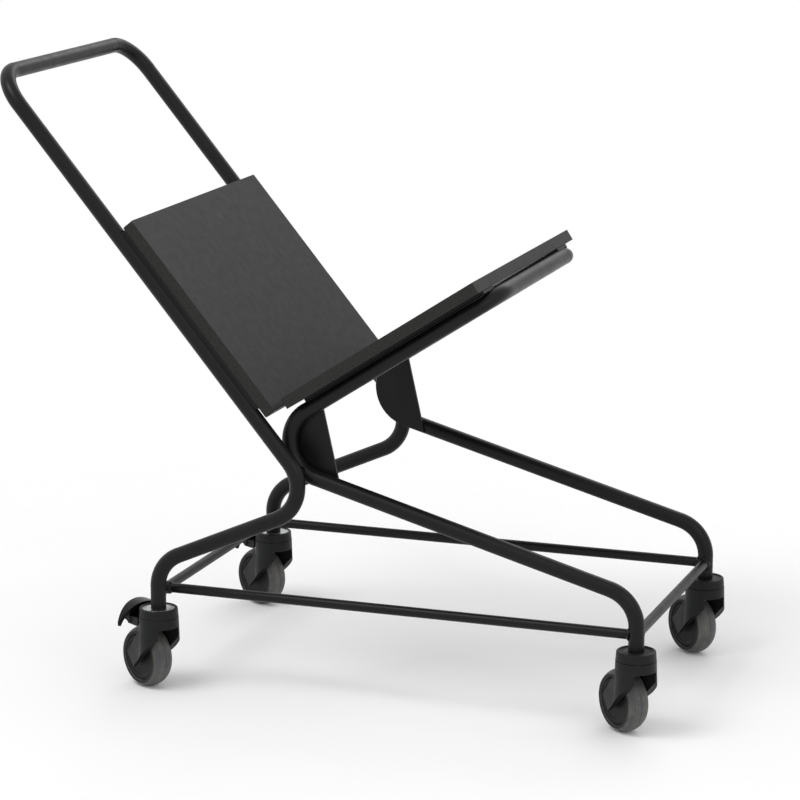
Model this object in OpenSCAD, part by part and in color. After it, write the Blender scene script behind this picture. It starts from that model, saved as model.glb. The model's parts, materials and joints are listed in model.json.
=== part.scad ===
// Stacking chair trolley: two bent tube loops, a back board and a seat board on four swivel casters.
// Millimetres, Z up, floor at Z = 0, push handle at the -X end, front casters at the +X end.
// The seat and the back meet in a V, so that a stack leans into the corner and stays there on its own.

/* [Tube frame] */
// Outer diameter of the frame tube
tube_d = 25; // [21:0.5:30]
// Wall thickness of the frame tube
tube_wall = 2; // [1.5:0.1:2.5]
// Bend radius of the frame tube on its centre line
bend_r = 60; // [50:1:70]
// Distance between the rear and the front caster stems
wheelbase = 789; // [740:1:900]
// Width of the handle loop between centre lines
handle_loop_w = 499; // [460:1:600]
// Clear gap between the two loops where they pass each other
loop_gap = 7.5; // [5:0.5:15]
// Height of the handle bar's centre line above the casters
handle_rise = 852.5; // [812:0.5:962]
// Rise of the back uprights from the floor plane in degrees
upright_angle = 50.3; // [47:0.1:56]
// Rise of the rear legs from the floor plane in degrees
rear_leg_angle = 23.8; // [18:0.1:28]
// Rise of the front legs from the floor plane in degrees
front_leg_angle = 15.6; // [12:0.1:17]
// Rise of the seat from the floor plane in degrees
seat_angle = 33.1; // [30:0.1:38]
// Knee corner of the handle loop, along X from the middle of the wheelbase
knee_x = -115; // [-140:1:-90]
// Knee corner of the handle loop above the casters
knee_rise = 198.6; // [187:0.1:222]
// Overlap of the two bends where the loops cross, seen from the side
bend_overlap = 4; // [2:0.5:6]
// Direction from the knee bend's centre to the fold bend's centre in degrees
bend_line_angle = 35; // [32:0.5:38]
// Length of the seat tubes from the fold corner to the front bar
seat_len = 502; // [490:1:560]

/* [Braces and gussets] */
// Outer diameter of the brace tube
brace_d = 16; // [12:0.5:18]
// Wall thickness of the brace tube
brace_wall = 1.5; // [1:0.1:2]
// Height of the braces' centre line above the casters
brace_rise = 26; // [20:1:34]
// Leg length of the weld beads at the brace ends
weld_leg = 2.5; // [1.5:0.1:4]
// Thickness of the gusset plates
gusset_t = 4; // [3:0.5:6]
// Lap of the gusset plates past the tube's centre line
gusset_lap = 7; // [5:0.5:8]
// Run of the gusset plates along the seat tube
gusset_top_run = 28.5; // [20:0.5:60]
// Run of the gusset plates along the front leg
gusset_leg_run = 39.5; // [30:0.5:80]

/* [Boards] */
// Length of both boards along the tubes
board_l = 375; // [340:1:380]
// Overhang of both boards past the handle loop's centre lines
board_overhang = 5.5; // [0:0.5:10]
// Thickness of both boards
board_t = 19; // [15:0.5:25]
// Plan radius of the board corners
board_corner_r = 3; // [1:0.5:10]
// Distance from the knee corner to the back board's lower edge
back_board_start = 158; // [150:1:190]
// Distance from the fold corner to the seat board's lower edge
seat_board_start = 123; // [115:1:124]
// Thickness of the board tabs, long strips that are welded along the tubes
tab_t = 4.8; // [3:0.1:8]
// Width of the board tabs across the tube
tab_w = 52; // [46:1:70]
// Lap of the board tabs past the tube's centre line
tab_lap = 6; // [4:0.5:10]
// Distance from the tube's centre line to the tab screws
tab_reach = 34; // [30:1:38]
// Distance from the board ends to the tab screws
tab_inset = 60; // [40:1:90]
// Distance from the board's lower edge to the tabs
tab_low_gap = 19; // [5:1:35]
// Distance from the board's upper edge to the tabs
tab_top_gap = 4; // [2:1:35]
// Shank diameter of the board screws
screw_d = 5; // [4:0.5:6]
// Depth of the board screws in the board
screw_depth = 13; // [8:0.5:14]

/* [Casters] */
// Height of a caster from the floor to the end of the frame tube
caster_h = 138; // [115:1:165]
// Height of the caster head above the wheel
head_h = 38; // [37:0.5:42]
// Heading of the rear right caster's trail, anticlockwise from +X in degrees
rear_right_heading = 149; // [0:1:360]
// Heading of the rear left caster's trail
rear_left_heading = 151; // [0:1:360]
// Heading of the front right caster's trail
front_right_heading = 138; // [0:1:360]
// Heading of the front left caster's trail
front_left_heading = 140; // [0:1:360]
// Wheel width over the tyre
wheel_w = 37; // [30:0.5:38]
// Offset of the axle from the swivel axis
trail = 34; // [30:0.5:36]
// Thickness of the tyre
tyre_t = 12; // [8:0.5:14]
// Diameter of the axle
axle_d = 8; // [6:0.5:10]
// Diameter of the king pin
king_d = 12; // [10:0.5:14]
// Radius of the caster cap
cap_r = 31; // [30:0.5:32]
// Radius of the hood under the cap
hood_r = 32.2; // [32:0.1:34]
// Growth of the hood radius per millimetre going down
hood_flare = 0.03; // [0:0.01:0.08]
// Inward slope of the fork arms behind the hood in degrees
arm_slope = 9.5; // [7:0.5:10]
// Clearance between the tyre and each fork arm
tyre_gap = 1.5; // [1:0.1:2]
// Clearance between the wheel and the crown of the fork
crown_gap = 8.5; // [6:0.5:10]
// Gap between the fixed cap and the turning hood
swivel_gap = 1; // [0.5:0.1:1.5]

/* [Brake pedals] */
// Hinge of the pedal behind the swivel axis
hinge_u = 22; // [21:0.5:23]
// Hinge of the pedal below the top of the caster
hinge_drop = 28; // [27:0.5:28.5]
// Diameter of the pedal pin
pin_d = 5; // [4:0.5:6]
// Half width of the pedal wing
wing_half_w = 46; // [38:0.5:48]
// Distance from the swivel axis to the wing's inner edge
wing_start = 35; // [34:0.5:40]
// Length of the wing along its crest
wing_l = 27; // [22:0.5:32]
// Plan radius of the wing's inner edge
wing_inner_r = 100; // [85:1:120]
// Plan radius of the wing's outer edge
wing_outer_r = 97; // [80:1:120]
// Arch radius of the wing
wing_arch_r = 50; // [49:0.5:60]
// Height of the wing's crest above the top of the caster
wing_rise = 3.5; // [0:0.5:5]
// Thickness of the wing
wing_t = 4.5; // [3:0.5:6]

/* [Hidden] */
$fn = 48;
// Gap between pieces that are fixed to each other, and radial play of pins and shafts
fit = 0.05;
// Overshoot of cutting shapes
over = 1;
// Lap of a straight into a bend, and swell of the tube's radius in a bend
joint_lap = 0.5;
joint_step = 0.2;
tube_r = tube_d / 2;
tube_bore_d = tube_d - 2 * tube_wall;
stem_x = wheelbase / 2;
handle_z = caster_h + handle_rise;
knee_z = caster_h + knee_rise;
brace_z = caster_h + brace_rise;
handle_y = handle_loop_w / 2;
seat_y = handle_y - tube_d - loop_gap;

// Corners of the handle loop in the side view
knee = [knee_x, knee_z];
rear_corner = [-stem_x, knee_z - (knee_x + stem_x) * tan(rear_leg_angle)];
handle_corner = [knee_x - (handle_z - knee_z) / tan(upright_angle), handle_z];

// Corners of the seat loop in the side view, hung from the knee bend so that the two bends always cross
seat_dir = [cos(seat_angle), sin(seat_angle)];
leg_dir = [cos(front_leg_angle), -sin(front_leg_angle)];
knee_centre = bend_centre(rear_corner, knee, handle_corner);
fold_centre = knee_centre + (2 * bend_r - bend_overlap) * [cos(bend_line_angle), sin(bend_line_angle)];
fold = fold_centre - (bend_centre(leg_dir, [0, 0], seat_dir));
front_corner = fold + leg_dir * (stem_x - fold[0]) / leg_dir[0];
seat_end = fold + seat_len * seat_dir;

// Board seats: distance of the tabs and of the board's back face from the tube's centre line
tab_base = tube_r + joint_step + fit;
board_off = tab_base + tab_t;
board_w = handle_loop_w + 2 * board_overhang;
tab_corner_r = 3;
screw_head_d = 2 * screw_d;
screw_head_h = 0.6 * screw_d;

// Caster levels and sizes, from the floor up
wheel_d = caster_h - head_h;
wheel_r = wheel_d / 2;
hub_r = wheel_r - tyre_t;
slot_w = wheel_w + 2 * tyre_gap;
slot_top = wheel_d + crown_gap;
cap_h = 14;
hood_top = caster_h - cap_h;
cap_base = hood_top + swivel_gap;
disc_t = 2;
disc_base = caster_h - disc_t;
rim_top = caster_h + 1.2;
disc_r = cap_r - 4.5;
king_head_d = king_d + 8;
king_head_h = 3;
king_play = 0.4;
king_seat = slot_top + 5;
plug_h = 40;
plug_lead = 2;
ball_r = 2.4;
ball_pitch_r = 20;
ball_count = 14;
ball_play = 0.35;
groove_half_w = 3.5;
ball_z = cap_base - fit;
cap_groove_top = ball_z + ball_r + fit;
hood_groove_floor = ball_z - ball_r - ball_play;
bush_d = axle_d + 4;
boss_half_w = wheel_w / 2 + 0.5;
axle_half_l = slot_w / 2 + 4.5;

// Side outline of the fork from the top of the hood round the arms, as [behind the swivel axis, height]
hood_front = -50;
hood_side_h = 10.5;
arm_drop = 15;
arm_reach = 25;
arm_rise = 5.5;
arm_root_run = 19;
arm_low = [trail + 3, wheel_r - arm_drop];
arm_end = [trail + arm_reach, wheel_r + arm_rise];
arm_root = [trail - arm_root_run, wheel_d];
hood_low = [hood_front, hood_top - hood_side_h];
hood_back = hood_r + 4;
fork_side = [
    [hood_front, hood_top],
    hood_low,
    arm_low,
    arm_end,
    arm_root,
    [hood_back, slot_top],
    [hood_back, hood_top]
];

// Pedal: pocket in the hood, and the outlines of the lever, the pad and the rib about the hinge
hinge_z = caster_h - hinge_drop;
barrel_r = pin_d / 2 + 3.5;
pocket_half_w = 14.5;
pocket_gap = 1.2;
lever_half_w = 11;
pad_half_w = 26;
rib_half_w = 30;
pad_gap = 2.2;
pin_half_l = pocket_half_w + 7;
wing_axis_z = caster_h + wing_rise - wing_arch_r;
wing_drop = 33;
wing_low_z = caster_h - wing_drop;
wing_end = wing_start + wing_l;
shoe_half_l = 4.5;
shoe_drop = 9;
pad_end = wing_end - 4 - hinge_u;
pad_low = -4;
pad_top = 13;
rib_start = wing_start + 6 - hinge_u;
lever_side = [
    [0, barrel_r],
    [rib_start, barrel_r + 0.6],
    [rib_start, pad_low + 0.5],
    [rib_start - 6, pad_low],
    [shoe_half_l, -shoe_drop],
    [-shoe_half_l, -shoe_drop],
    [-barrel_r, 0]
];
pad_side = [
    [-barrel_r, pad_low],
    [-barrel_r, pad_top],
    [pad_end, pad_top - 6],
    [pad_end, pad_low + 7],
    [rib_start + 8, pad_low]
];
rib_side = [
    [rib_start - 1, 0],
    [rib_start - 1, wing_arch_r],
    [pad_end - 1, wing_arch_r],
    [pad_end - 1, pad_low + 8]
];

// Middle of the overall box in plan, which is where the origin goes
function hood_reach(heading) = hood_r + hood_flare * (hood_side_h
    + (hood_r * cos(heading) - hood_front) * (hood_low[1] - arm_low[1]) / (arm_low[0] - hood_front));
wing_tip_u = wing_end - wing_outer_r + sqrt(wing_outer_r * wing_outer_r - wing_half_w * wing_half_w);
reach_front = max(hood_reach(front_right_heading), hood_reach(front_left_heading));
reach_left = wing_tip_u * sin(rear_left_heading) - wing_half_w * cos(rear_left_heading);
reach_right = hood_reach(rear_right_heading - 270);
mid_x = (stem_x + reach_front + handle_corner[0] - tube_r - joint_step) / 2;
mid_y = (reach_left - reach_right) / 2;

// Vectors along a bent centre line
function unit(v) = v / norm(v);
function turn(p, q, r) = acos(unit(q - p) * unit(r - q));
function setback(p, q, r) = bend_r * tan(turn(p, q, r) / 2);
function inward(p, q, r) = unit(unit(r - q) - (unit(q - p) * unit(r - q)) * unit(q - p));
function bend_centre(p, q, r) = q - unit(q - p) * setback(p, q, r) + bend_r * inward(p, q, r);
function in_space(p, y) = [p[0], y, p[1]];

// Turns +Z to the given direction
module aim(v) {
    rotate([0, acos(v[2] / norm(v)), atan2(v[1], v[0])])
        children();
}

module rod(from, to, d) {
    translate(from)
        aim(to - from)
            cylinder(d = d, h = norm(to - from));
}

// Round bend of a centre line at its corner q
module bend(p, q, r, d) {
    c = bend_centre(p, q, r);
    x = -inward(p, q, r);
    y = unit(q - p);
    z = cross(x, y);
    multmatrix([
        [x[0], y[0], z[0], c[0]],
        [x[1], y[1], z[1], c[1]],
        [x[2], y[2], z[2], c[2]],
        [0, 0, 0, 1]
    ])
        rotate_extrude(angle = turn(p, q, r))
            translate([bend_r, 0])
                circle(d = d);
}

// Round bar that goes on from the origin along +Z: straights[i], then a bend by turns[i] to the side rolls[i].
// A bend swells by joint_step, as bent tube does, and the straights lap into it.
module bent_bar(straights, turns, rolls, d, i = 0) {
    start = i == 0 ? 0 : -joint_lap;
    end = straights[i] + (i == len(turns) ? 0 : joint_lap);
    translate([0, 0, start])
        cylinder(d = d, h = end - start);
    if (i < len(turns))
        translate([0, 0, straights[i]])
            rotate([0, 0, rolls[i]])
                translate([bend_r, 0, 0]) {
                    rotate([90, 0, 180])
                        rotate_extrude(angle = turns[i])
                            translate([bend_r, 0])
                                circle(d = d + 2 * joint_step);
                    rotate([0, turns[i], 0])
                        translate([-bend_r, 0, 0])
                            bent_bar(straights, turns, rolls, d, i + 1);
                }
}

// Loop of frame tube from one caster stem over the cross bar to the other, for its corners in the side view
module bent_tube(corners, loop_w) {
    foot = [corners[0][0], caster_h];
    lower_turn = turn(foot, corners[0], corners[1]);
    upper_turn = turn(corners[0], corners[1], corners[2]);
    lower_setback = setback(foot, corners[0], corners[1]);
    upper_setback = setback(corners[0], corners[1], corners[2]);
    stem = corners[0][1] - caster_h - lower_setback;
    leg = norm(corners[1] - corners[0]) - lower_setback - upper_setback;
    arm = norm(corners[2] - corners[1]) - upper_setback - bend_r;
    bar = loop_w - 2 * bend_r;
    turns = [lower_turn, upper_turn, 90, 90, upper_turn, lower_turn];
    rolls = [0, 180, -90, 0, 90, 180];
    difference() {
        bent_bar([stem, leg, arm, bar, arm, leg, stem], turns, rolls, tube_d);
        translate([0, 0, -over])
            bent_bar([stem + over, leg, arm, bar, arm, leg, stem + over], turns, rolls, tube_bore_d);
    }
}

// Moves the model so that the origin is on the floor under the middle of its overall box
module placed() {
    translate([-mid_x, -mid_y, 0])
        children();
}

module on_upright() {
    translate(in_space(knee, 0))
        rotate([0, upright_angle, 0])
            mirror([1, 0, 0])
                children();
}

module on_seat() {
    translate(in_space(fold, 0))
        rotate([0, -seat_angle, 0])
            children();
}

module handle_loop() {
    color("#2b2c2e")
        placed()
            translate([-stem_x, -handle_y, caster_h])
                bent_tube([rear_corner, knee, handle_corner], handle_loop_w);
}

module seat_loop() {
    color("#2b2c2e")
        placed()
            translate([stem_x, seat_y, caster_h])
                rotate([0, 0, 180])
                    bent_tube([front_corner, fold, seat_end], 2 * seat_y);
}

// D-shaped plate inside the fold: round along the bend, straight on its open side
module gusset_plate() {
    plate_r = bend_r + gusset_lap;
    strip_r = plate_r - fit;
    seat_side = [-seat_dir[1], seat_dir[0]];
    leg_side = [leg_dir[1], -leg_dir[0]];
    top_tangent = fold_centre + strip_r * seat_side;
    leg_tangent = fold_centre + strip_r * leg_side;
    top_end = top_tangent + gusset_top_run * seat_dir;
    leg_end = leg_tangent + gusset_leg_run * leg_dir;
    edge = unit(top_end - leg_end);
    beyond = 3 * plate_r;
    difference() {
        union() {
            translate(fold_centre)
                cylinder(r = plate_r, h = gusset_t);
            linear_extrude(gusset_t)
                polygon([fold_centre, top_tangent, top_end, leg_end, leg_tangent]);
        }
        translate([0, 0, -over])
            linear_extrude(gusset_t + 2 * over)
                polygon([
                    leg_end - beyond * edge,
                    top_end + beyond * edge,
                    top_end + beyond * edge + [beyond, 0],
                    leg_end - beyond * edge + [beyond, 0]
                ]);
    }
}

module gusset(side) {
    inner_face = seat_y - tube_r - joint_step - fit;
    color("#252628")
        placed()
            translate([0, side * (inner_face - gusset_t / 2) + gusset_t / 2, 0])
                rotate([90, 0, 0])
                    gusset_plate();
}

module gusset_right() {
    gusset(-1);
}

module gusset_left() {
    gusset(1);
}

// Slugs between the loops where their centre lines cross, coped to both bends
module loop_spacers() {
    half_span = bend_r - bend_overlap / 2;
    half_chord = sqrt(bend_r * bend_r - half_span * half_span);
    mid = (knee_centre + fold_centre) / 2 + half_chord * [sin(bend_line_angle), -cos(bend_line_angle)];
    color("#2b2c2e")
        placed()
            for (side = [-1, 1])
                difference() {
                    rod(in_space(mid, side * seat_y), in_space(mid, side * handle_y), 0.72 * tube_d);
                    bend(
                        in_space(rear_corner, side * handle_y),
                        in_space(knee, side * handle_y),
                        in_space(handle_corner, side * handle_y),
                        tube_d + 2 * (joint_step + fit)
                    );
                    bend(
                        in_space(front_corner, side * seat_y),
                        in_space(fold, side * seat_y),
                        in_space(seat_end, side * seat_y),
                        tube_d + 2 * (joint_step + fit)
                    );
                }
}

// Weld bead that widens a brace towards its end at the given point
module weld_bead(at, along) {
    translate(at)
        aim(along)
            cylinder(r1 = brace_d / 2, r2 = brace_d / 2 + weld_leg, h = weld_leg);
}

// Brace tube between two centre lines, coped to a round member at each end
module brace(from, to, from_d, to_d) {
    along = unit(to - from);
    rod(from, to, brace_d);
    weld_bead(to - along * (to_d / 2 + weld_leg), along);
    weld_bead(from + along * (from_d / 2 + weld_leg), -along);
    translate(to - along * to_d / 2)
        aim(along)
            cylinder(r = brace_d / 2 + weld_leg, h = to_d / 2);
    translate(from + along * from_d / 2)
        aim(-along)
            cylinder(r = brace_d / 2 + weld_leg, h = from_d / 2);
}

module stem_cut(x, y) {
    translate([x, y, caster_h])
        cylinder(d = tube_d + 2 * fit, h = 2 * (brace_z - caster_h));
}

module side_brace(side) {
    rear = [-stem_x, side * seat_y, brace_z];
    front = [stem_x, side * seat_y, brace_z];
    reach = [0, brace_d + weld_leg, 0];
    color("#2b2c2e")
        placed()
            difference() {
                brace(rear, front, brace_d, tube_d);
                rod(rear, front, brace_d - 2 * brace_wall);
                rod(rear - reach, rear + reach, brace_d + 2 * fit);
                rod(front - reach, front + reach, brace_d + 2 * (weld_leg + fit));
                stem_cut(stem_x, side * seat_y);
            }
}

module side_brace_right() {
    side_brace(-1);
}

module side_brace_left() {
    side_brace(1);
}

module cross_brace(x, y) {
    right = [x, -y, brace_z];
    left = [x, y, brace_z];
    color("#2b2c2e")
        placed()
            difference() {
                brace(right, left, tube_d, tube_d);
                rod(right, left, brace_d - 2 * brace_wall);
                stem_cut(x, -y);
                stem_cut(x, y);
            }
}

module rear_brace() {
    cross_brace(-stem_x, handle_y);
}

module front_brace() {
    cross_brace(stem_x, seat_y);
}

// Both sides of a loop: what is drawn along the tube with +Y inwards goes to each
module on_sides(y) {
    for (side = [-1, 1])
        translate([0, side * y, 0])
            mirror([0, side > 0 ? 1 : 0, 0])
                children();
}

// Screw places on a board's tabs, along the tube from the board's lower edge
module at_screws(start) {
    for (along = [start + tab_inset, start + board_l - tab_inset])
        translate([along, tab_reach, 0])
            children();
}

// Flat piece with rounded corners
module slab(l, w, t, r) {
    translate([r, 0, 0])
        cube([l - 2 * r, w, t]);
    translate([0, r, 0])
        cube([l, w - 2 * r, t]);
    for (x = [r, l - r], y = [r, w - r])
        translate([x, y, 0])
            cylinder(r = r, h = t);
}

// Board with blind screw holes in its back face
module board(start, y) {
    color("#1e1e1f")
        difference() {
            translate([start, -board_w / 2, board_off])
                slab(board_l, board_w, board_t, board_corner_r);
            on_sides(y)
                at_screws(start)
                    translate([0, 0, board_off - over])
                        cylinder(d = screw_d + 2 * fit, h = screw_depth + 2 * over);
        }
}

module back_board() {
    placed()
        on_upright()
            board(back_board_start, handle_y);
}

module seat_board() {
    placed()
        on_seat()
            board(seat_board_start, seat_y);
}

// Long tabs that are welded along the tubes and carry a board
module board_tabs(start, y) {
    color("#2b2c2e")
        on_sides(y)
            difference() {
                translate([start + tab_low_gap, -tab_lap, tab_base])
                    slab(board_l - tab_low_gap - tab_top_gap, tab_w, tab_t, tab_corner_r);
                at_screws(start)
                    translate([0, 0, tab_base - over])
                        cylinder(d = screw_d + 2 * fit, h = tab_t + 2 * over);
            }
}

module back_board_tabs() {
    placed()
        on_upright()
            board_tabs(back_board_start, handle_y);
}

module seat_board_tabs() {
    placed()
        on_seat()
            board_tabs(seat_board_start, seat_y);
}

// Pan head screw from under a tab into the board
module board_screw() {
    key_d = 0.6 * screw_d;
    translate([0, 0, tab_base - fit]) {
        difference() {
            translate([0, 0, -screw_head_h])
                cylinder(d1 = 0.8 * screw_head_d, d2 = screw_head_d, h = screw_head_h);
            translate([0, 0, -screw_head_h - over])
                cylinder(d = key_d, h = over + screw_head_h / 2, $fn = 6);
        }
        cylinder(d = screw_d, h = tab_t + screw_depth);
    }
}

module board_screws() {
    color("#8a8c90")
        placed() {
            on_upright()
                on_sides(handle_y)
                    at_screws(back_board_start)
                        board_screw();
            on_seat()
                on_sides(seat_y)
                    at_screws(seat_board_start)
                        board_screw();
        }
}

// Caster places: the part below is drawn about the swivel axis with the wheel trailing to +X
module at_caster(end, side) {
    rear_heading = side < 0 ? rear_right_heading : rear_left_heading;
    front_heading = side < 0 ? front_right_heading : front_left_heading;
    placed()
        translate([end * stem_x, side * (end < 0 ? handle_y : seat_y), 0])
            rotate([0, 0, end < 0 ? rear_heading : front_heading])
                children();
}

// Turns a profile drawn as [radius, across] about the axle
module about_axle() {
    translate([trail, 0, wheel_r])
        rotate([90, 0, 0])
            children();
}

// King pin with its retaining head, and the plug in the frame tube
module caster_stem() {
    head_top = king_seat - king_play;
    plug_r = tube_bore_d / 2 - fit;
    plug_top = caster_h + plug_h;
    color("#9b9ea3")
        rotate_extrude()
            polygon([
                [0, head_top - king_head_h],
                [king_head_d / 2, head_top - king_head_h],
                [king_head_d / 2, head_top],
                [king_d / 2, head_top],
                [king_d / 2, caster_h],
                [plug_r, caster_h],
                [plug_r, plug_top - plug_lead],
                [plug_r - plug_lead, plug_top],
                [0, plug_top]
            ]);
}

module caster_disc(tint) {
    color(tint)
        translate([0, 0, disc_base])
            difference() {
                cylinder(r = disc_r - fit, h = disc_t);
                translate([0, 0, -over])
                    cylinder(d = king_d + 2 * fit, h = disc_t + 2 * over);
                translate([0, 0, disc_t - 0.5])
                    rotate_extrude()
                        translate([disc_r - 5, 0])
                            square([1.5, over]);
            }
}

// Fixed cap: round rim, recess for the disc and the upper ball race
module caster_cap() {
    edge_r = 2;
    bore_r = king_d / 2 + fit;
    foot_r = hood_r - 0.3;
    color("#2d2f31")
        difference() {
            rotate_extrude() {
                polygon([
                    [bore_r, cap_base], [foot_r, cap_base], [cap_r, rim_top - edge_r], [bore_r, rim_top - edge_r]
                ]);
                square_from(bore_r, cap_base, cap_r - edge_r, rim_top);
                translate([cap_r - edge_r, rim_top - edge_r])
                    circle(r = edge_r);
            }
            translate([0, 0, disc_base - fit])
                cylinder(r = disc_r, h = rim_top);
            ball_groove(cap_base - over, cap_groove_top);
        }
}

module square_from(x0, y0, x1, y1) {
    translate([x0, y0])
        square([x1 - x0, y1 - y0]);
}

module ball_groove(low, high) {
    rotate_extrude()
        square_from(ball_pitch_r - groove_half_w, low, ball_pitch_r + groove_half_w, high);
}

// Ball ring of the swivel: steel balls in a flat cage
module caster_bearing() {
    cage_half_w = 1.6;
    color("#b9bcc0") {
        rotate_extrude()
            square_from(ball_pitch_r - cage_half_w, ball_z - 0.6, ball_pitch_r + cage_half_w, ball_z + 0.6);
        for (i = [0 : ball_count - 1])
            rotate([0, 0, i * 360 / ball_count])
                translate([ball_pitch_r, 0, ball_z])
                    sphere(r = ball_r);
    }
}

// Plan of the fork: round hood with arms that leave it on a tangent and close in towards the axle
module fork_plan() {
    low = arm_low[1] - over;
    touch = hood_r * [sin(arm_slope), cos(arm_slope)];
    tail_x = arm_end[0] + over;
    tail_y = touch[1] - (tail_x - touch[0]) * tan(arm_slope);
    translate([0, 0, low])
        linear_extrude(arm_root[1] - low)
            polygon([[0, touch[1]], touch, [tail_x, tail_y], [tail_x, -tail_y], [touch[0], -touch[1]], [0, -touch[1]]]);
    translate([0, 0, low])
        cylinder(r1 = hood_r + hood_flare * (hood_top - low), r2 = hood_r, h = hood_top - low);
}

// Hooded fork: wheel slot through it, king pin bore, lower ball race and blind axle bores.
module caster_fork(braked) {
    far = 100;
    color("#303234")
        difference() {
            intersection() {
                fork_plan();
                translate([0, far, 0])
                    rotate([90, 0, 0])
                        linear_extrude(2 * far)
                            polygon(fork_side);
            }
            translate([-far, -slot_w / 2, 0])
                cube([2 * far, slot_w, slot_top]);
            translate([0, 0, slot_top - over])
                cylinder(d = king_head_d + 2, h = king_seat - slot_top + over);
            cylinder(d = king_d + 2 * fit, h = caster_h);
            ball_groove(hood_groove_floor, hood_top + over);
            about_axle()
                translate([0, 0, -axle_half_l - fit])
                    cylinder(d = axle_d + 2 * fit, h = 2 * (axle_half_l + fit));
            if (braked)
                pedal_room();
        }
}

// Pocket in the hood for the pedal lever, with the bore for its pin
module pedal_room() {
    pocket_u = hinge_u - barrel_r - pocket_gap;
    translate([pocket_u, -pocket_half_w, slot_top - over])
        cube([2 * hood_r, 2 * pocket_half_w, hinge_z + barrel_r + pocket_gap - slot_top + over]);
    across_hinge(pin_half_l + fit)
        circle(d = pin_d + 2 * fit);
}

module wheel_axle() {
    color("#a5a8ac")
        about_axle()
            translate([0, 0, -axle_half_l])
                cylinder(d = axle_d, h = 2 * axle_half_l);
}

module wheel_bush() {
    color("#b08d57")
        about_axle()
            rotate_extrude()
                square_from(axle_d / 2 + fit, -boss_half_w, bush_d / 2, boss_half_w);
}

// Hub: boss, dished faces with a ring groove, and a chamfered rim that leaves a line beside the tyre
module wheel_hub() {
    face = wheel_w / 2 - 2;
    dish = face - 1.5;
    rim_chamfer = 1.2;
    boss_r = bush_d / 2 + 4;
    half = [
        [bush_d / 2 + fit, boss_half_w],
        [boss_r - 1, boss_half_w],
        [boss_r, boss_half_w - 1],
        [boss_r, dish],
        [hub_r - 9, dish],
        [hub_r - 7, face],
        [hub_r - rim_chamfer, face],
        [hub_r, face - rim_chamfer]
    ];
    color("#3a3c3f")
        about_axle()
            rotate_extrude()
                polygon(concat(half, [for (i = [len(half) - 1 : -1 : 0]) [half[i][0], -half[i][1]]]));
}

// Tyre: crowned tread with flat side walls
module wheel_tyre() {
    crown_r = 0.75 * wheel_w;
    color("#6b6e70")
        about_axle()
            rotate_extrude()
                intersection() {
                    square_from(hub_r + fit, -wheel_w / 2, wheel_r + over, wheel_w / 2);
                    translate([wheel_r - crown_r, 0])
                        circle(r = crown_r);
                }
}

// Outline drawn about the pedal hinge as [back, up], given its half width across
module across_hinge(half_w) {
    translate([hinge_u, half_w, hinge_z])
        rotate([90, 0, 0])
            linear_extrude(2 * half_w)
                children();
}

// Round bar along the crest of the pedal wing
module wing_arch(r) {
    translate([0, 0, wing_axis_z])
        rotate([0, 90, 0])
            cylinder(r = r, h = wing_end + over);
}

// Brake pedal: arched wing filled by a broad rib on a pad, lever, brake shoe and hinge barrel in one moulding
module brake_pedal() {
    color("#17181a")
        difference() {
            union() {
                pedal_wing();
                intersection() {
                    across_hinge(rib_half_w)
                        polygon(rib_side);
                    wing_arch(wing_arch_r - wing_t / 2);
                }
                difference() {
                    across_hinge(pad_half_w)
                        polygon(pad_side);
                    cylinder(r = hood_r + pad_gap, h = caster_h);
                }
                across_hinge(lever_half_w)
                    polygon(lever_side);
                across_hinge(pocket_half_w - 0.5)
                    circle(r = barrel_r);
            }
            across_hinge(pocket_half_w)
                circle(d = pin_d + 2 * fit);
        }
}

// Leaf-shaped wing between an inner and an outer plan arc, arched over the lever
module pedal_wing() {
    wing_h = wing_axis_z + wing_arch_r - wing_low_z;
    intersection() {
        difference() {
            wing_arch(wing_arch_r);
            translate([over, 0, 0])
                wing_arch(wing_arch_r - wing_t);
        }
        translate([wing_start + wing_inner_r, 0, wing_low_z])
            cylinder(r = wing_inner_r, h = wing_h + over);
        translate([wing_end - wing_outer_r, 0, wing_low_z])
            cylinder(r = wing_outer_r, h = wing_h + over);
        translate([0, -wing_half_w, wing_low_z])
            cube([wing_end + over, 2 * wing_half_w, wing_h + over]);
    }
}

module pedal_pin() {
    color("#a5a8ac")
        across_hinge(pin_half_l)
            circle(d = pin_d);
}

handle_loop();
seat_loop();
gusset_right();
gusset_left();
loop_spacers();
side_brace_right();
side_brace_left();
rear_brace();
front_brace();
back_board();
seat_board();
back_board_tabs();
seat_board_tabs();
board_screws();

at_caster(-1, -1) caster_stem();  // rear_right_stem
at_caster(-1, -1) caster_disc("#c9ccd0");  // rear_right_disc
at_caster(-1, -1) caster_cap();  // rear_right_cap
at_caster(-1, -1) caster_bearing();  // rear_right_bearing
at_caster(-1, -1) caster_fork(true);  // rear_right_fork
at_caster(-1, -1) wheel_axle();  // rear_right_axle
at_caster(-1, -1) wheel_bush();  // rear_right_bush
at_caster(-1, -1) wheel_hub();  // rear_right_hub
at_caster(-1, -1) wheel_tyre();  // rear_right_tyre
at_caster(-1, -1) brake_pedal();  // rear_right_pedal
at_caster(-1, -1) pedal_pin();  // rear_right_pedal_pin

at_caster(-1, 1) caster_stem();  // rear_left_stem
at_caster(-1, 1) caster_disc("#c9ccd0");  // rear_left_disc
at_caster(-1, 1) caster_cap();  // rear_left_cap
at_caster(-1, 1) caster_bearing();  // rear_left_bearing
at_caster(-1, 1) caster_fork(true);  // rear_left_fork
at_caster(-1, 1) wheel_axle();  // rear_left_axle
at_caster(-1, 1) wheel_bush();  // rear_left_bush
at_caster(-1, 1) wheel_hub();  // rear_left_hub
at_caster(-1, 1) wheel_tyre();  // rear_left_tyre
at_caster(-1, 1) brake_pedal();  // rear_left_pedal
at_caster(-1, 1) pedal_pin();  // rear_left_pedal_pin

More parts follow.
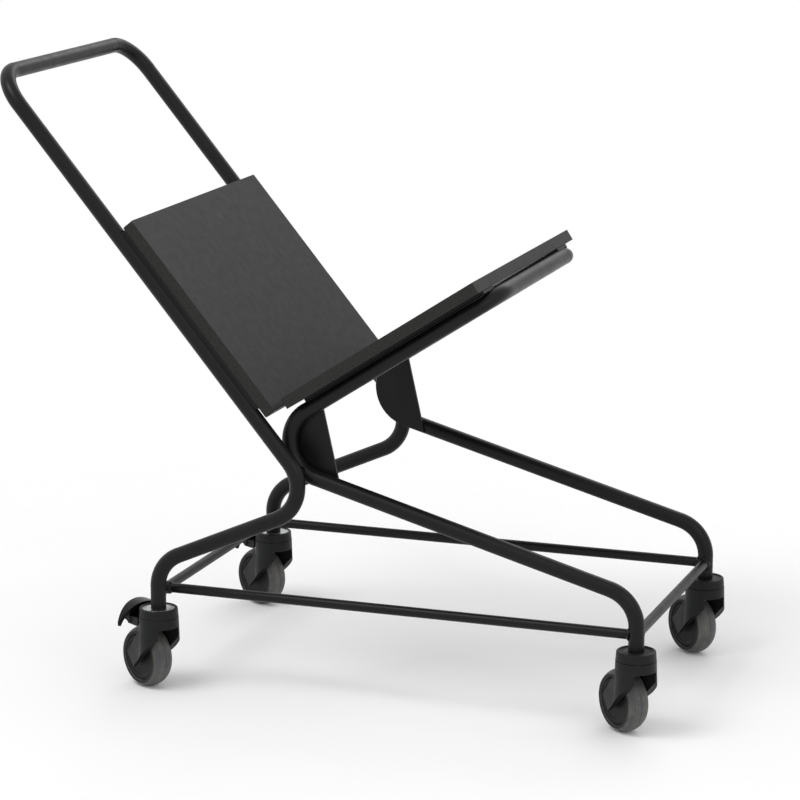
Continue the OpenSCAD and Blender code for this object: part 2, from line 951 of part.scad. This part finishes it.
at_caster(1, -1) caster_stem();  // front_right_stem
at_caster(1, -1) caster_disc("#35373a");  // front_right_disc
at_caster(1, -1) caster_cap();  // front_right_cap
at_caster(1, -1) caster_bearing();  // front_right_bearing
at_caster(1, -1) caster_fork(false);  // front_right_fork
at_caster(1, -1) wheel_axle();  // front_right_axle
at_caster(1, -1) wheel_bush();  // front_right_bush
at_caster(1, -1) wheel_hub();  // front_right_hub
at_caster(1, -1) wheel_tyre();  // front_right_tyre

at_caster(1, 1) caster_stem();  // front_left_stem
at_caster(1, 1) caster_disc("#35373a");  // front_left_disc
at_caster(1, 1) caster_cap();  // front_left_cap
at_caster(1, 1) caster_bearing();  // front_left_bearing
at_caster(1, 1) caster_fork(false);  // front_left_fork
at_caster(1, 1) wheel_axle();  // front_left_axle
at_caster(1, 1) wheel_bush();  // front_left_bush
at_caster(1, 1) wheel_hub();  // front_left_hub
at_caster(1, 1) wheel_tyre();  // front_left_tyre
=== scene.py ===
"""Looks of the stacking chair trolley: materials, welds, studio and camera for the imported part."""
import json
import math

import bpy
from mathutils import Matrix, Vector


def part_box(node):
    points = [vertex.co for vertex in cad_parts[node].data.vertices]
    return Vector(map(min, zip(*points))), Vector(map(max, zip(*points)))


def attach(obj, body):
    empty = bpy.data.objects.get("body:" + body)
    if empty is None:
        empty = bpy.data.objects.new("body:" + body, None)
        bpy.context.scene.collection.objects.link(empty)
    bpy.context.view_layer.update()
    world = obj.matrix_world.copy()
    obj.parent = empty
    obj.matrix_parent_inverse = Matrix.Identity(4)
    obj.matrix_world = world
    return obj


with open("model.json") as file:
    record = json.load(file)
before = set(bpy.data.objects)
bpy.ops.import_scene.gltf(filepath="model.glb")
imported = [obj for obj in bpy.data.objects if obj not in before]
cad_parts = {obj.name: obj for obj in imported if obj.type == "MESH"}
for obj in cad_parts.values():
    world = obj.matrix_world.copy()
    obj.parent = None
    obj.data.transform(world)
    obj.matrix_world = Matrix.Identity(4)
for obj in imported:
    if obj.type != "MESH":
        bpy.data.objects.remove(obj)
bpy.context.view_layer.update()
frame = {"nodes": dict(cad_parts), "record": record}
nodes = frame["nodes"]
record = frame["record"]
joints = {joint["name"]: joint for joint in record["behaviour"]["joints"]}

# Lengths are in metres, angles in degrees, noise scales per metre, and colours linear.

# Casters, and those with a brake
CORNERS = ("rear_right", "rear_left", "front_right", "front_left")
BRAKED = ("rear_right", "rear_left")

# Slopes of the two boards from the floor, as in the CAD part
UPRIGHT_ANGLE = 50.3
SEAT_ANGLE = 33.1

# Brake pedal: its grey lever lies below this height over the hinge and this near to its middle
LEVER_TOP = 0.0095
LEVER_HALF_W = 0.031

# Hub: where the painted shade in the groove beside the tyre starts, and the width over which it
# darkens
PAINTED_SHADE_R = 0.0362
PAINTED_SHADE_BLEND = 0.0004

# Weld bead: radius, sides, pitch of its ripples, rings per ripple, and ripple height in radii
BEAD_R = 0.0017
BEAD_SIDES = 10
BEAD_PITCH = 0.0026
BEAD_RINGS = 4
BEAD_RIPPLE = 0.07

# Ends of a bead: length of the taper and radius of the tip, both in radii
TAPER_LENGTH = 3.0
TAPER_TIP = 0.12

# Beads on a strip: how far they stop from its ends; how far they lie below and inside its
# edge, in radii
STRIP_BEAD_INSET = 0.0005
STRIP_BEAD_BELOW = 0.55
STRIP_BEAD_INSIDE = 0.1

# Beads on a gusset: number and length; how far they lie outside its face and inside its rim,
# in radii
GUSSET_BEADS = 4
GUSSET_BEAD_L = 0.024
GUSSET_BEAD_OUTSIDE = 0.6
GUSSET_BEAD_INSIDE = 0.4

# Fold of the seat loop in the side view: its centre (X, Z), the radius of the gusset's rim, and
# the angles between which that runs
FOLD_CENTRE = (0.00452, 0.42596)
GUSSET_R = 0.067
SEAT_SIDE = 90.0 + SEAT_ANGLE
LEG_SIDE = 254.4

# Studio: brightness of the world for the object; the floor's radius and sides, and the radii
# between which it fades into the backdrop
WORLD_LEVEL = 0.78
FLOOR_R = 2.4
FLOOR_SIDES = 96
FADE_START = 0.75
FADE_END = 1.7

# Lamps: name, place, the point it is turned to, width and height, and watts
LAMPS = (
    ("key", (-1.2, -1.8, 3.4), (0.0, 0.0, 0.4), (1.6, 1.2), 42.0),
    ("fill", (3.0, -2.2, 2.2), (0.0, 0.0, 0.4), (2.0, 1.6), 12.0),
    ("back", (0.4, 3.0, 2.8), (0.0, 0.0, 0.5), (2.4, 1.2), 18.0),
)

# The photograph's camera: direction, distance, the point it looks at, lens and sensor in mm,
# and how far it sees
VIEW_AZIMUTH = 19.55
VIEW_ELEVATION = 12.84
VIEW_DISTANCE = 5.2
VIEW_TARGET = Vector((0.01917, 0.07726, 0.43101))
VIEW_LENS = 140.53
VIEW_SENSOR = 36.0
VIEW_CLIP = 100.0

# Materials: the range in which most noise lies, the height of a fine relief, the samples of a
# rounded edge, and the cosines of its turn at which wear starts and is full
NOISE_LOW = 0.3
NOISE_HIGH = 0.7
RELIEF = 0.0002
EDGE_SAMPLES = 4
EDGE_TURN = (0.995, 0.92)

# The Mix node's colour sockets share their names with others, so they go by number
MIX_FIRST, MIX_SECOND, MIX_RESULT = 6, 7, 2


# Node helpers

def new_material(name):
    """A node material, its tree and its Principled shader."""
    material = bpy.data.materials.new(name)
    material.use_nodes = True
    tree = material.node_tree
    return material, tree, tree.nodes["Principled BSDF"]


def feed(tree, node, sockets):
    """Links a node's inputs, by name or number, or sets them where the value is a constant."""
    for socket, value in sockets.items():
        if isinstance(value, bpy.types.NodeSocket):
            tree.links.new(value, node.inputs[socket])
        else:
            node.inputs[socket].default_value = value


def add(tree, kind, sockets=None, **properties):
    """A node with its properties set by name and its inputs fed."""
    node = tree.nodes.new(kind)
    for key, value in properties.items():
        setattr(node, key, value)
    feed(tree, node, sockets or {})
    return node


def position(tree):
    """Rest coordinates: a CAD node's own vertices hold its place."""
    return add(tree, "ShaderNodeTexCoord").outputs["Object"]


def math_node(tree, operation, *values):
    """The result of a Math node."""
    node = add(tree, "ShaderNodeMath", dict(enumerate(values)), operation=operation)
    return node.outputs["Value"]


def vector_node(tree, operation, *values):
    """The outputs of a Vector Math node."""
    node = add(tree, "ShaderNodeVectorMath", dict(enumerate(values)), operation=operation)
    return node.outputs


def along(tree, vector, axis):
    """The size of a vector's part along an axis."""
    return math_node(tree, "ABSOLUTE", vector_node(tree, "DOT_PRODUCT", vector, axis)["Value"])


def moved(tree, vector, origin):
    """A vector measured from an origin."""
    return vector_node(tree, "SUBTRACT", vector, origin)["Vector"]


def from_line(tree, vector, axis):
    """Distance of a point from a line through the origin along an axis."""
    cross = vector_node(tree, "CROSS_PRODUCT", vector, axis)["Vector"]
    return vector_node(tree, "LENGTH", cross)["Value"]


def noise(tree, coords, scale, detail=3.0, roughness=0.55):
    """Noise factor over coordinates."""
    texture = add(tree, "ShaderNodeTexNoise", {
        "Vector": coords, "Scale": scale, "Detail": detail, "Roughness": roughness})
    return texture.outputs["Fac"]


def ramp(tree, factor, *stops):
    """Colour ramp over a factor, from (place, colour) stops."""
    node = add(tree, "ShaderNodeValToRGB", {"Fac": factor})
    elements = node.color_ramp.elements
    while len(elements) < len(stops):
        elements.new(0.5)
    for element, (place, colour) in zip(elements, stops):
        element.position = place
        element.color = (*colour, 1.0)
    return node.outputs["Color"]


def clouded(tree, factor, dark, light):
    """Two tones over a noise."""
    return ramp(tree, factor, (NOISE_LOW, dark), (NOISE_HIGH, light))


def spread(tree, factor, low, high, start=NOISE_LOW, end=NOISE_HIGH, **properties):
    """Maps a factor from one range, by default that of noise, to another."""
    node = add(tree, "ShaderNodeMapRange", {
        "Value": factor, "From Min": start, "From Max": end, "To Min": low, "To Max": high,
    }, **properties)
    return node.outputs["Result"]


def mask(tree, factor, start, end):
    """0 up to the start of a range and 1 from its end."""
    return spread(tree, factor, 0.0, 1.0, start, end)


def mixed(tree, factor, first, second):
    """Mix of two colours."""
    node = add(tree, "ShaderNodeMix", data_type="RGBA")
    feed(tree, node, {"Factor": factor, MIX_FIRST: first, MIX_SECOND: second})
    return node.outputs[MIX_RESULT]


def rounded(tree, radius):
    """The normal, rounded over the edges."""
    node = add(tree, "ShaderNodeBevel", {"Radius": radius}, samples=EDGE_SAMPLES)
    return node.outputs["Normal"]


def rubbed(tree, coords, normal, base, worn, scale, patches, turn=EDGE_TURN):
    """A colour that is worn to other tones in patches, where the rounded normal turns."""
    surface = add(tree, "ShaderNodeNewGeometry").outputs["Normal"]
    on_edge = mask(tree, vector_node(tree, "DOT_PRODUCT", normal, surface)["Value"], *turn)
    rub = noise(tree, coords, scale, detail=4.0, roughness=0.65)
    in_patch = math_node(tree, "MULTIPLY", on_edge, mask(tree, rub, *patches))
    return mixed(tree, in_patch, base, clouded(tree, rub, *worn))


def bumped(tree, normal, height, strength, distance=RELIEF):
    """A normal with a fine relief on it."""
    node = add(tree, "ShaderNodeBump", {
        "Normal": normal, "Height": height, "Strength": strength, "Distance": distance})
    return node.outputs["Normal"]


# Materials

def coated(name, dark, light, worn, rough, specular, grain, edge, turn):
    """Paint or plastic: cloudy colour, uneven gloss, a fine grain, and edges rubbed lighter."""
    material, tree, shader = new_material(name)
    coords = position(tree)
    normal = rounded(tree, edge)
    base = ramp(tree, noise(tree, coords, scale=9.0, detail=4.0), (0.32, dark), (0.68, light))
    tone = rubbed(
        tree, coords, normal, base, (light, worn), scale=70.0, patches=(0.34, 0.58), turn=turn)
    feed(tree, shader, {
        "Base Color": tone,
        "Roughness": spread(tree, noise(tree, coords, scale=40.0), *rough),
        "Specular IOR Level": specular,
        "Normal": bumped(tree, normal, noise(tree, coords, grain, detail=2.0), strength=0.2),
    })
    return material


def board_material(name, facing):
    """Black faced board: smooth faces, and edges where the brown-grey core grain shows."""
    material, tree, shader = new_material(name)
    coords = position(tree)
    normal = rounded(tree, radius=0.0012)
    surface = add(tree, "ShaderNodeNewGeometry").outputs["True Normal"]
    is_face = mask(tree, along(tree, surface, facing), start=0.75, end=0.85)
    face = ramp(
        tree, noise(tree, coords, scale=90.0, detail=5.0, roughness=0.65),
        (0.25, (0.0044, 0.0044, 0.0046)), (0.75, (0.0056, 0.0056, 0.0058)))
    grain = noise(tree, coords, scale=900.0, detail=4.0, roughness=0.7)
    core = ramp(
        tree, grain, (0.34, (0.0075, 0.0072, 0.0069)), (0.52, (0.0165, 0.0158, 0.015)),
        (0.72, (0.04, 0.0385, 0.036)))
    worn = (0.012, 0.011, 0.01), (0.045, 0.041, 0.036)
    tone = rubbed(
        tree, coords, normal, mixed(tree, is_face, core, face), worn,
        scale=45.0, patches=(0.45, 0.65))
    feed(tree, shader, {
        "Base Color": tone,
        "Roughness": spread(tree, noise(tree, coords, scale=70.0), low=0.5, high=0.56),
        "Specular IOR Level": 0.22,
        "Normal": bumped(tree, normal, grain, strength=0.08),
    })
    return material


def hub_material(name, centre, axis):
    """Dark moulded hub; the groove beside the tyre is matt and carries painted shade, coloured near
    black.
    """
    material, tree, shader = new_material(name)
    coords = position(tree)
    normal = rounded(tree, radius=0.0012)
    clouds = noise(tree, coords, scale=20.0, detail=4.0)
    base = clouded(tree, clouds, dark=(0.0065, 0.0065, 0.0067), light=(0.011, 0.011, 0.0112))
    worn = (0.03, 0.03, 0.03), (0.075, 0.075, 0.073)
    tone = rubbed(tree, coords, normal, base, worn, scale=70.0, patches=(0.36, 0.6))
    # Painted shade: the groove beside the tyre is coloured near black, as if shade fell in it
    groove = clouded(tree, clouds, dark=(0.001, 0.001, 0.001), light=(0.0018, 0.0018, 0.0018))
    radius = from_line(tree, moved(tree, coords, centre), axis)
    in_painted_shade = mask(tree, radius, PAINTED_SHADE_R - PAINTED_SHADE_BLEND, PAINTED_SHADE_R)
    gloss = spread(tree, clouds, low=0.36, high=0.48)
    dulled = spread(tree, in_painted_shade, low=0.0, high=0.4, start=0.0, end=1.0)
    grain = noise(tree, coords, scale=2000.0, detail=2.0)
    feed(tree, shader, {
        "Base Color": mixed(tree, in_painted_shade, tone, groove),
        "Roughness": math_node(tree, "ADD", gloss, dulled),
        "Specular IOR Level": 0.12,
        "Normal": bumped(tree, normal, grain, strength=0.2),
    })
    return material


def tyre_material(name, centre, axis):
    """Grey soft tread, dusty, with painted reflection bands running round it, and darker side walls.
    """
    material, tree, shader = new_material(name)
    coords = position(tree)
    facing = add(tree, "ShaderNodeTexCoord").outputs["Normal"]
    is_side = mask(tree, along(tree, facing, axis), start=0.55, end=0.85)
    dust = noise(tree, coords, scale=55.0, detail=5.0, roughness=0.6)
    across = vector_node(tree, "DOT_PRODUCT", moved(tree, coords, centre), axis)["Value"]
    # Painted reflection: bands running round the tread, lighter and darker in its colour, added to
    # the dust
    painted_reflection_streaks = add(tree, "ShaderNodeTexNoise", noise_dimensions="1D")
    feed(tree, painted_reflection_streaks, {"W": across, "Scale": 260.0, "Detail": 2.0})
    marks = math_node(tree, "ADD", dust, painted_reflection_streaks.outputs["Fac"])
    tread = ramp(
        tree, mask(tree, marks, start=0.7, end=1.3), (0.1, (0.066, 0.069, 0.073)),
        (0.5, (0.094, 0.094, 0.091)), (0.9, (0.138, 0.132, 0.12)))
    side = clouded(tree, dust, dark=(0.012, 0.0125, 0.013), light=(0.021, 0.0215, 0.022))
    grain = noise(tree, coords, scale=1400.0, detail=2.0)
    feed(tree, shader, {
        "Base Color": mixed(tree, is_side, tread, side),
        "Roughness": spread(tree, dust, low=0.5, high=0.7),
        "Specular IOR Level": 0.14,
        "Sheen Weight": 0.04,
        "Normal": bumped(tree, rounded(tree, radius=0.001), grain, strength=0.2),
    })
    return material


def metal_material(name, dark, light, rough):
    """Plated metal with fine turning marks."""
    material, tree, shader = new_material(name)
    stretched = add(tree, "ShaderNodeMapping", {
        "Vector": position(tree), "Scale": (1.0, 1.0, 18.0)}).outputs["Vector"]
    marks = noise(tree, stretched, scale=60.0, detail=3.0, roughness=0.5)
    feed(tree, shader, {
        "Base Color": clouded(tree, marks, dark, light),
        "Roughness": spread(tree, marks, *rough),
        "Metallic": 1.0,
        "Normal": bumped(tree, rounded(tree, radius=0.0005), marks, strength=0.08),
    })
    return material


def disc_material(name, centre, dark, light, rough):
    """Turned zinc disc with rings about its middle."""
    material, tree, shader = new_material(name)
    coords = moved(tree, position(tree), centre)
    rings = add(tree, "ShaderNodeTexWave", {
        "Vector": coords, "Scale": 150.0, "Distortion": 1.5, "Detail": 2.0,
    }, wave_type="RINGS", rings_direction="Z").outputs["Fac"]
    tarnish = noise(tree, coords, scale=60.0, detail=4.0)
    shade = spread(tree, rings, low=0.55, high=1.0, start=0.0, end=1.0)
    tone = math_node(tree, "MULTIPLY", shade, tarnish)
    feed(tree, shader, {
        "Base Color": ramp(tree, tone, (0.2, dark), (0.6, light)),
        "Roughness": spread(tree, tarnish, *rough),
        "Metallic": 1.0,
        "Normal": bumped(tree, rounded(tree, radius=0.0006), rings, strength=0.15),
    })
    return material


def pedal_material(name, hinge, axis):
    """Glossy black foot plate over a matt grey lever."""
    material, tree, shader = new_material(name)
    coords = position(tree)
    normal = rounded(tree, radius=0.0016)
    local = moved(tree, coords, hinge)
    height = add(tree, "ShaderNodeSeparateXYZ", {"Vector": local}).outputs["Z"]
    is_low = math_node(tree, "LESS_THAN", height, LEVER_TOP)
    is_middle = math_node(tree, "LESS_THAN", along(tree, local, axis), LEVER_HALF_W)
    is_lever = math_node(tree, "MULTIPLY", is_low, is_middle)
    clouds = noise(tree, coords, scale=30.0, detail=4.0)
    plate = clouded(tree, clouds, dark=(0.0016, 0.0016, 0.0017), light=(0.0028, 0.0028, 0.003))
    lever = clouded(tree, clouds, dark=(0.02, 0.0205, 0.021), light=(0.028, 0.0285, 0.029))
    worn = (0.012, 0.012, 0.012), (0.04, 0.04, 0.04)
    tone = rubbed(
        tree, coords, normal, mixed(tree, is_lever, plate, lever), worn,
        scale=120.0, patches=(0.45, 0.68))
    gloss = spread(tree, clouds, low=0.24, high=0.34)
    dulled = spread(tree, is_lever, low=0.0, high=0.28, start=0.0, end=1.0)
    grain = noise(tree, coords, scale=900.0, detail=2.0)
    feed(tree, shader, {
        "Base Color": tone,
        "Roughness": math_node(tree, "ADD", gloss, dulled),
        "Specular IOR Level": 0.12,
        "Normal": bumped(tree, normal, grain, strength=0.12, distance=0.0001),
    })
    return material


def leaning(angle, way):
    """Normal of a board that slopes up by an angle, backwards (1) or forwards (-1)."""
    a = math.radians(angle)
    return Vector((way * math.sin(a), 0.0, math.cos(a)))


BACK_FACING = leaning(UPRIGHT_ANGLE, 1)
SEAT_FACING = leaning(SEAT_ANGLE, -1)
POWDER = coated(
    "black_powder_coat",
    dark=(0.0044, 0.0046, 0.0049), light=(0.0068, 0.007, 0.0074), worn=(0.05, 0.05, 0.05),
    rough=(0.32, 0.42), specular=0.19, grain=1500.0, edge=0.0008, turn=(0.93, 0.78))

# Finishes by material slot, and those of single pieces, which come first
FINISHES = {
    "frame_paint": POWDER,
    "steel": metal_material(
        "plated_steel", dark=(0.25, 0.255, 0.265), light=(0.42, 0.43, 0.44), rough=(0.25, 0.4)),
    "caster_plastic": coated(
        "caster_polyamide",
        dark=(0.008, 0.0084, 0.0088), light=(0.0122, 0.0126, 0.0132), worn=(0.075, 0.075, 0.074),
        rough=(0.42, 0.54), specular=0.16, grain=2200.0, edge=0.0012, turn=EDGE_TURN),
    "brass": metal_material(
        "bush_brass", dark=(0.42, 0.3, 0.11), light=(0.6, 0.45, 0.2), rough=(0.3, 0.45)),
}
OWN_FINISHES = {
    "back_board": board_material("back_board_black", BACK_FACING),
    "seat_board": board_material("seat_board_black", SEAT_FACING),
}
for corner in CORNERS:
    axle = joints[corner + "_wheel_spin"]
    OWN_FINISHES[corner + "_hub"] = hub_material(
        corner + "_hub_finish_and_painted_shade", axle["pos_m"], axle["axis"])
    OWN_FINISHES[corner + "_tyre"] = tyre_material(
        corner + "_tread_with_painted_streaks", axle["pos_m"], axle["axis"])
for corner in BRAKED:
    hinge = joints[corner + "_brake_press"]
    OWN_FINISHES[corner + "_pedal"] = pedal_material(
        corner + "_pedal_finish", hinge["pos_m"], hinge["axis"])
    OWN_FINISHES[corner + "_disc"] = disc_material(
        corner + "_disc_finish", joints[corner + "_swivel_turn"]["pos_m"],
        dark=(0.12, 0.122, 0.125), light=(0.74, 0.75, 0.76), rough=(0.22, 0.36))

for part in record["subparts"]:
    mesh = nodes[part["node"]].data
    mesh.materials.clear()
    mesh.materials.append(OWN_FINISHES.get(part["node"]) or FINISHES[part["material_slot"]])


# Welds between the plates and the tubes

ACROSS = Vector((0.0, 1.0, 0.0))
low_corner, high_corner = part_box("back_board")
MIDDLE_Y = (low_corner[1] + high_corner[1]) / 2


def bead(path, length):
    """Vertices and faces of one weld bead along a path: a rippled round with tapered ends."""
    rings = int(length / BEAD_PITCH) * BEAD_RINGS
    points, faces = [], []
    for i in range(rings + 1):
        t = i / rings
        way = (path(t + 0.5 / rings) - path(t - 0.5 / rings)).normalized()
        side = way.cross(ACROSS).normalized()
        other = way.cross(side)
        taper = min(1.0, length * min(t, 1.0 - t) / (TAPER_LENGTH * BEAD_R)) ** 0.5
        ripple = BEAD_RIPPLE * math.cos(2 * math.pi * t * length / BEAD_PITCH)
        radius = BEAD_R * (TAPER_TIP + (1.0 - TAPER_TIP) * taper) * (1.0 + ripple)
        for k in range(BEAD_SIDES):
            a = 2 * math.pi * k / BEAD_SIDES
            points.append(path(t) + (side * math.cos(a) + other * math.sin(a)) * radius)
    for start in range(0, rings * BEAD_SIDES, BEAD_SIDES):
        for k in range(BEAD_SIDES):
            a, b = start + k, start + (k + 1) % BEAD_SIDES
            faces.append((a, b, b + BEAD_SIDES, a + BEAD_SIDES))
    faces.append(tuple(reversed(range(BEAD_SIDES))))
    faces.append(tuple(range(rings * BEAD_SIDES, (rings + 1) * BEAD_SIDES)))
    return points, faces


def weld_piece(name, beads):
    """One painted piece on the frame from the beads of a joint."""
    points, faces = [], []
    for some_points, some_faces in beads:
        faces += [tuple(n + len(points) for n in face) for face in some_faces]
        points += some_points
    mesh = bpy.data.meshes.new(name)
    mesh.from_pydata(points, [], faces)
    mesh.polygons.foreach_set("use_smooth", [True] * len(mesh.polygons))
    mesh.materials.append(POWDER)
    piece = bpy.data.objects.new(name, mesh)
    bpy.context.scene.collection.objects.link(piece)
    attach(piece, "frame")


def line(start, end):
    """Straight path between two points."""
    return lambda t: start.lerp(end, t)


def arc(centre, radius, first, last):
    """Path about a centre in a plane of constant Y, between two angles."""
    def path(t):
        a = math.radians(first + (last - first) * t)
        return centre + radius * Vector((math.cos(a), 0.0, math.sin(a)))
    return path


def strip_beads(node, facing):
    """A bead along the outer lower edge of each tab strip, under the strip and on the tube."""
    corners = [v.co for v in nodes[node].data.vertices]
    way = facing.cross(ACROSS)
    ends = [way.dot(c) for c in corners]
    first, last = min(ends) + STRIP_BEAD_INSET, max(ends) - STRIP_BEAD_INSET
    height = min(facing.dot(c) for c in corners) - STRIP_BEAD_BELOW * BEAD_R
    reach = max(abs(c.y - MIDDLE_Y) for c in corners) - STRIP_BEAD_INSIDE * BEAD_R
    for hand in (-1, 1):
        edge = facing * height + ACROSS * (MIDDLE_Y + hand * reach)
        yield bead(line(edge + way * first, edge + way * last), last - first)


def gusset_beads():
    """Beads round the rims of the gusset plates, between the plate and the tube's bend."""
    turn = math.degrees(GUSSET_BEAD_L / GUSSET_R)
    pitch = (LEG_SIDE - SEAT_SIDE - turn) / (GUSSET_BEADS - 1)
    radius = GUSSET_R - GUSSET_BEAD_INSIDE * BEAD_R
    for node, hand in (("gusset_right", -1), ("gusset_left", 1)):
        outer = max(hand * v.co.y for v in nodes[node].data.vertices)
        y = hand * (outer + GUSSET_BEAD_OUTSIDE * BEAD_R)
        centre = Vector((FOLD_CENTRE[0], y, FOLD_CENTRE[1]))
        for i in range(GUSSET_BEADS):
            first = SEAT_SIDE + pitch * i
            yield bead(arc(centre, radius, first, first + turn), GUSSET_BEAD_L)


weld_piece("back_board_welds", strip_beads("back_board_tabs", BACK_FACING))
weld_piece("seat_board_welds", strip_beads("seat_board_tabs", SEAT_FACING))
weld_piece("gusset_welds", gusset_beads())


# Studio

def build_floor():
    """A pale disc that takes the shadow and fades into the white backdrop."""
    angles = [2 * math.pi * k / FLOOR_SIDES for k in range(FLOOR_SIDES)]
    ring = [(FLOOR_R * math.cos(a), FLOOR_R * math.sin(a), 0.0) for a in angles]
    mesh = bpy.data.meshes.new("floor")
    mesh.from_pydata(ring, [], [tuple(range(FLOOR_SIDES))])
    floor = bpy.data.objects.new("floor", mesh)
    bpy.context.scene.collection.objects.link(floor)
    material, tree, shader = new_material("pale_floor")
    coords = position(tree)
    clouds = noise(tree, coords, scale=2.0)
    reach = vector_node(tree, "LENGTH", coords)["Value"]
    feed(tree, shader, {
        "Base Color": clouded(tree, clouds, dark=(0.955, 0.955, 0.955), light=(0.97, 0.97, 0.97)),
        "Roughness": 0.9,
        "Specular IOR Level": 0.1,
        "Alpha": spread(
            tree, reach, 1.0, 0.0, FADE_START, FADE_END, interpolation_type="SMOOTHSTEP"),
    })
    mesh.materials.append(material)


def build_world():
    """White to camera, glossy and transmission rays; plain light on the object."""
    world = bpy.data.worlds.new("studio")
    bpy.context.scene.world = world
    world.use_nodes = True
    tree = world.node_tree
    ray = add(tree, "ShaderNodeLightPath").outputs
    seen = math_node(tree, "MAXIMUM", ray["Is Camera Ray"], ray["Is Transmission Ray"])
    seen = math_node(tree, "MAXIMUM", seen, ray["Is Glossy Ray"])
    feed(tree, tree.nodes["Background"], {
        "Color": (1.0, 1.0, 1.0, 1.0),
        "Strength": spread(tree, seen, WORLD_LEVEL, 1.0, start=0.0, end=1.0),
    })


def soft_lamp(name, place, target, size, watts):
    """A rectangular lamp turned to a point."""
    data = bpy.data.lights.new(name, "AREA")
    data.shape = "RECTANGLE"
    data.size, data.size_y = size
    data.energy = watts
    lamp = bpy.data.objects.new(name, data)
    lamp.location = place
    lamp.rotation_euler = (Vector(target) - Vector(place)).to_track_quat("-Z", "Y").to_euler()
    bpy.context.scene.collection.objects.link(lamp)


def build_camera():
    """The photograph's camera."""
    azimuth, elevation = math.radians(VIEW_AZIMUTH), math.radians(VIEW_ELEVATION)
    level = math.cos(elevation)
    back = Vector((math.sin(azimuth) * level, -math.cos(azimuth) * level, math.sin(elevation)))
    data = bpy.data.cameras.new("camera")
    data.sensor_width = VIEW_SENSOR
    data.lens = VIEW_LENS
    data.clip_end = VIEW_CLIP
    camera = bpy.data.objects.new("camera", data)
    camera.location = VIEW_TARGET + VIEW_DISTANCE * back
    camera.rotation_euler = (-back).to_track_quat("-Z", "Y").to_euler()
    bpy.context.scene.collection.objects.link(camera)
    bpy.context.scene.camera = camera


build_floor()
build_world()
for lamp_values in LAMPS:
    soft_lamp(*lamp_values)
build_camera()
bpy.context.scene.view_settings.view_transform = "Standard"
